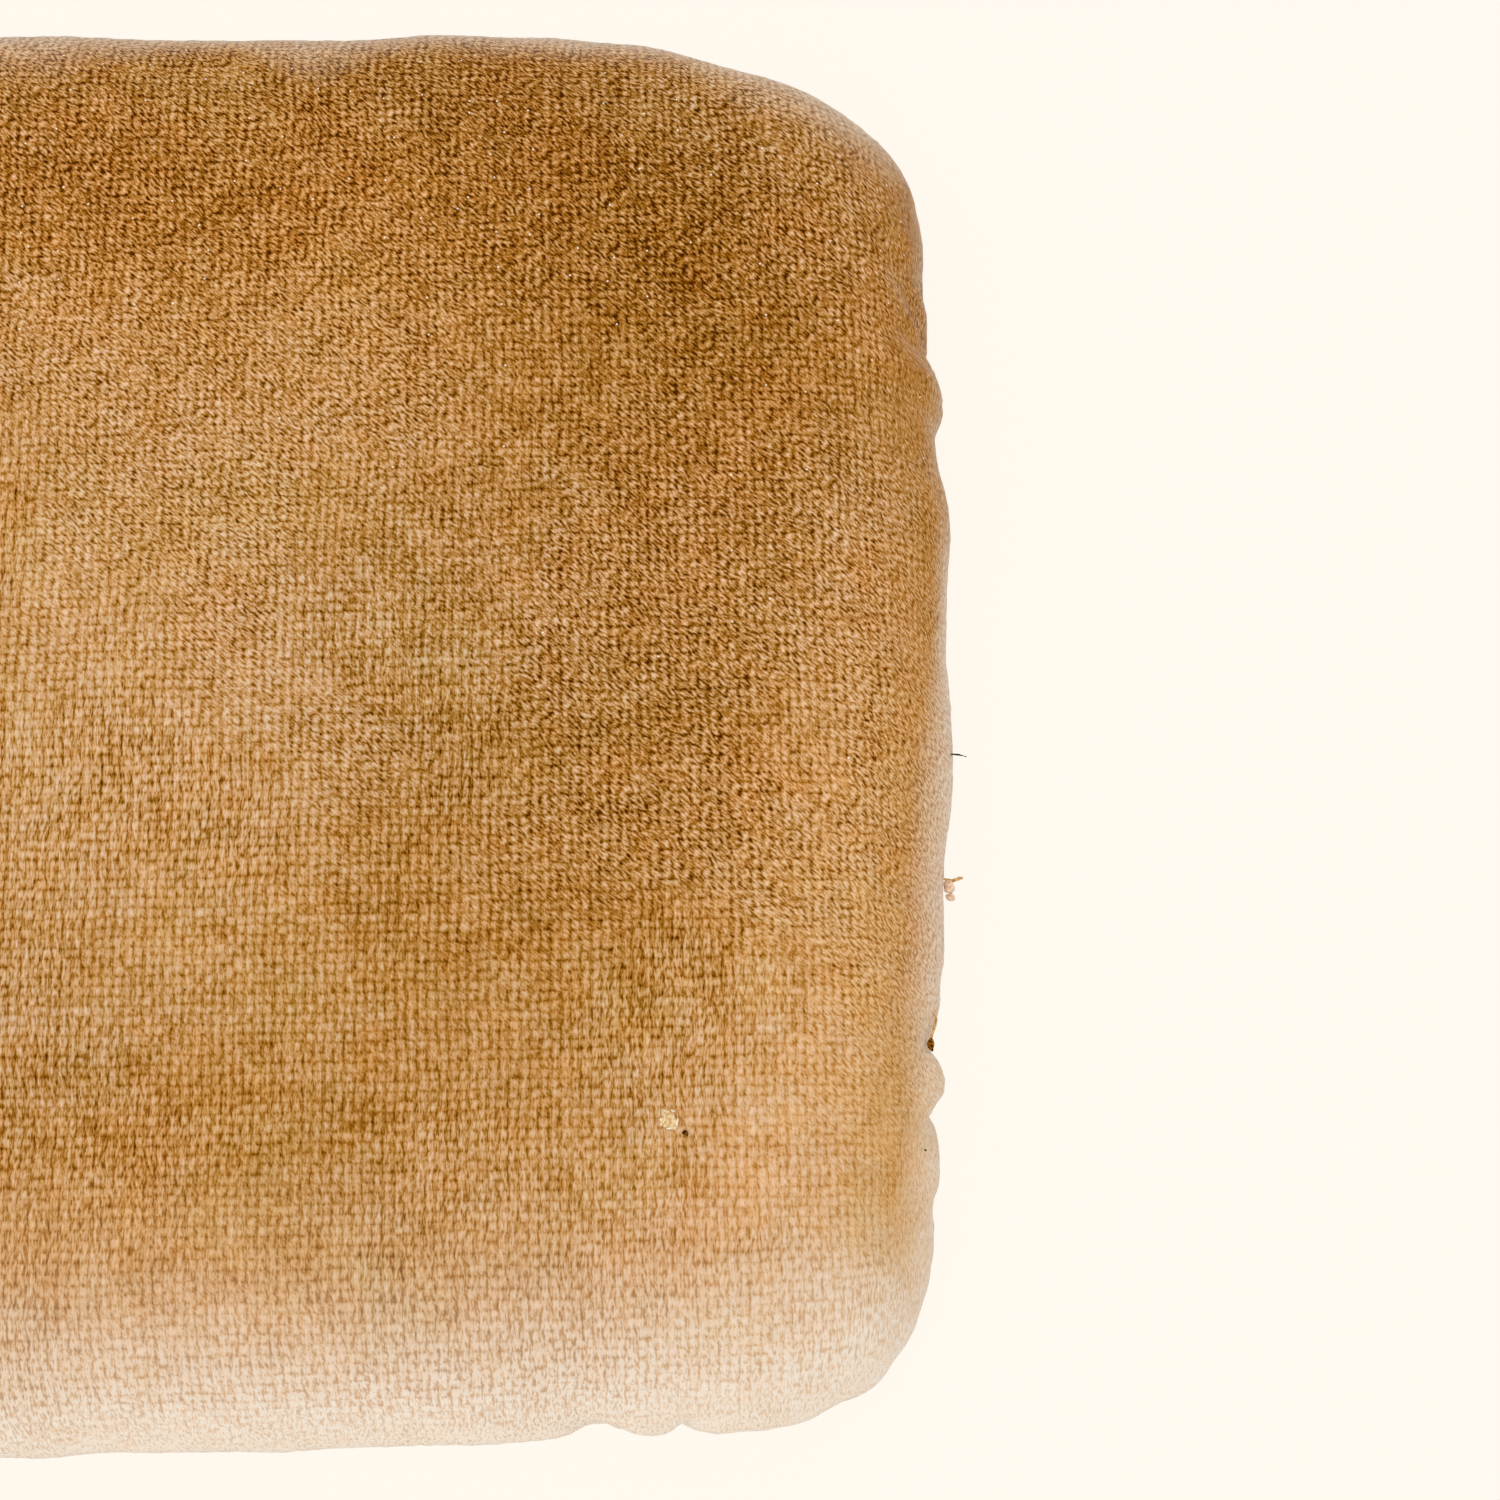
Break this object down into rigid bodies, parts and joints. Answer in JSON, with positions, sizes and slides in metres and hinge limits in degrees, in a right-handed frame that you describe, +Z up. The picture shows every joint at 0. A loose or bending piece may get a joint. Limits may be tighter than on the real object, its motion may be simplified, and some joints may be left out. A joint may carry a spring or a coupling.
{
  "type": "chair seat pad",
  "caption": "Upholstered seat pad with rounded edges and corners: velvet over wadding and foam on a plywood base, with T-nuts below for bolts.",
  "frame": {"origin": "centre of the pad's bounding box, on its lowest face, the underside of the dust cover", "axes": "+X across the width, +Y to the rear edge, +Z up out of the seat"},
  "size_m": [0.46, 0.417, 0.058],
  "materials": {
    "velvet": "cut pile with a coarse tufted grid, mottled nap and a pale sheen at grazing angles",
    "wadding": "lofted white polyester fibre",
    "foam": "open-cell upholstery foam",
    "plywood": "sanded birch plywood, unvarnished",
    "cambric": "matte black non-woven",
    "zinc_steel": "zinc plated"
  },
  "bodies": {
    "root": {"velvet_cover": "velvet", "wadding_wrap": "wadding", "foam_core": "foam", "plywood_base": "plywood", "dust_cover": "cambric", "t_nut_1": "zinc_steel", "t_nut_2": "zinc_steel", "t_nut_3": "zinc_steel", "t_nut_4": "zinc_steel", "cover_staple_01": "zinc_steel", "cover_staple_02": "zinc_steel", "cover_staple_03": "zinc_steel", "cover_staple_04": "zinc_steel", "cover_staple_05": "zinc_steel", "cover_staple_06": "zinc_steel", "cover_staple_07": "zinc_steel", "cover_staple_08": "zinc_steel", "cover_staple_09": "zinc_steel", "cover_staple_10": "zinc_steel", "cover_staple_11": "zinc_steel", "cover_staple_12": "zinc_steel", "cover_staple_13": "zinc_steel", "cover_staple_14": "zinc_steel", "cover_staple_15": "zinc_steel", "cover_staple_16": "zinc_steel", "cover_staple_17": "zinc_steel", "cover_staple_18": "zinc_steel", "cover_staple_19": "zinc_steel", "cover_staple_20": "zinc_steel", "cover_staple_21": "zinc_steel", "cover_staple_22": "zinc_steel", "cover_staple_23": "zinc_steel", "cover_staple_24": "zinc_steel", "cover_staple_25": "zinc_steel", "cover_staple_26": "zinc_steel", "dust_cover_staple_01": "zinc_steel", "dust_cover_staple_02": "zinc_steel", "dust_cover_staple_03": "zinc_steel", "dust_cover_staple_04": "zinc_steel", "dust_cover_staple_05": "zinc_steel", "dust_cover_staple_06": "zinc_steel", "dust_cover_staple_07": "zinc_steel", "dust_cover_staple_08": "zinc_steel", "dust_cover_staple_09": "zinc_steel", "dust_cover_staple_10": "zinc_steel", "dust_cover_staple_11": "zinc_steel", "dust_cover_staple_12": "zinc_steel", "dust_cover_staple_13": "zinc_steel", "dust_cover_staple_14": "zinc_steel", "dust_cover_staple_15": "zinc_steel", "dust_cover_staple_16": "zinc_steel", "dust_cover_staple_17": "zinc_steel", "dust_cover_staple_18": "zinc_steel", "dust_cover_staple_19": "zinc_steel", "dust_cover_staple_20": "zinc_steel", "dust_cover_staple_21": "zinc_steel", "dust_cover_staple_22": "zinc_steel", "dust_cover_staple_23": "zinc_steel", "dust_cover_staple_24": "zinc_steel"}
  },
  "joints": []
}
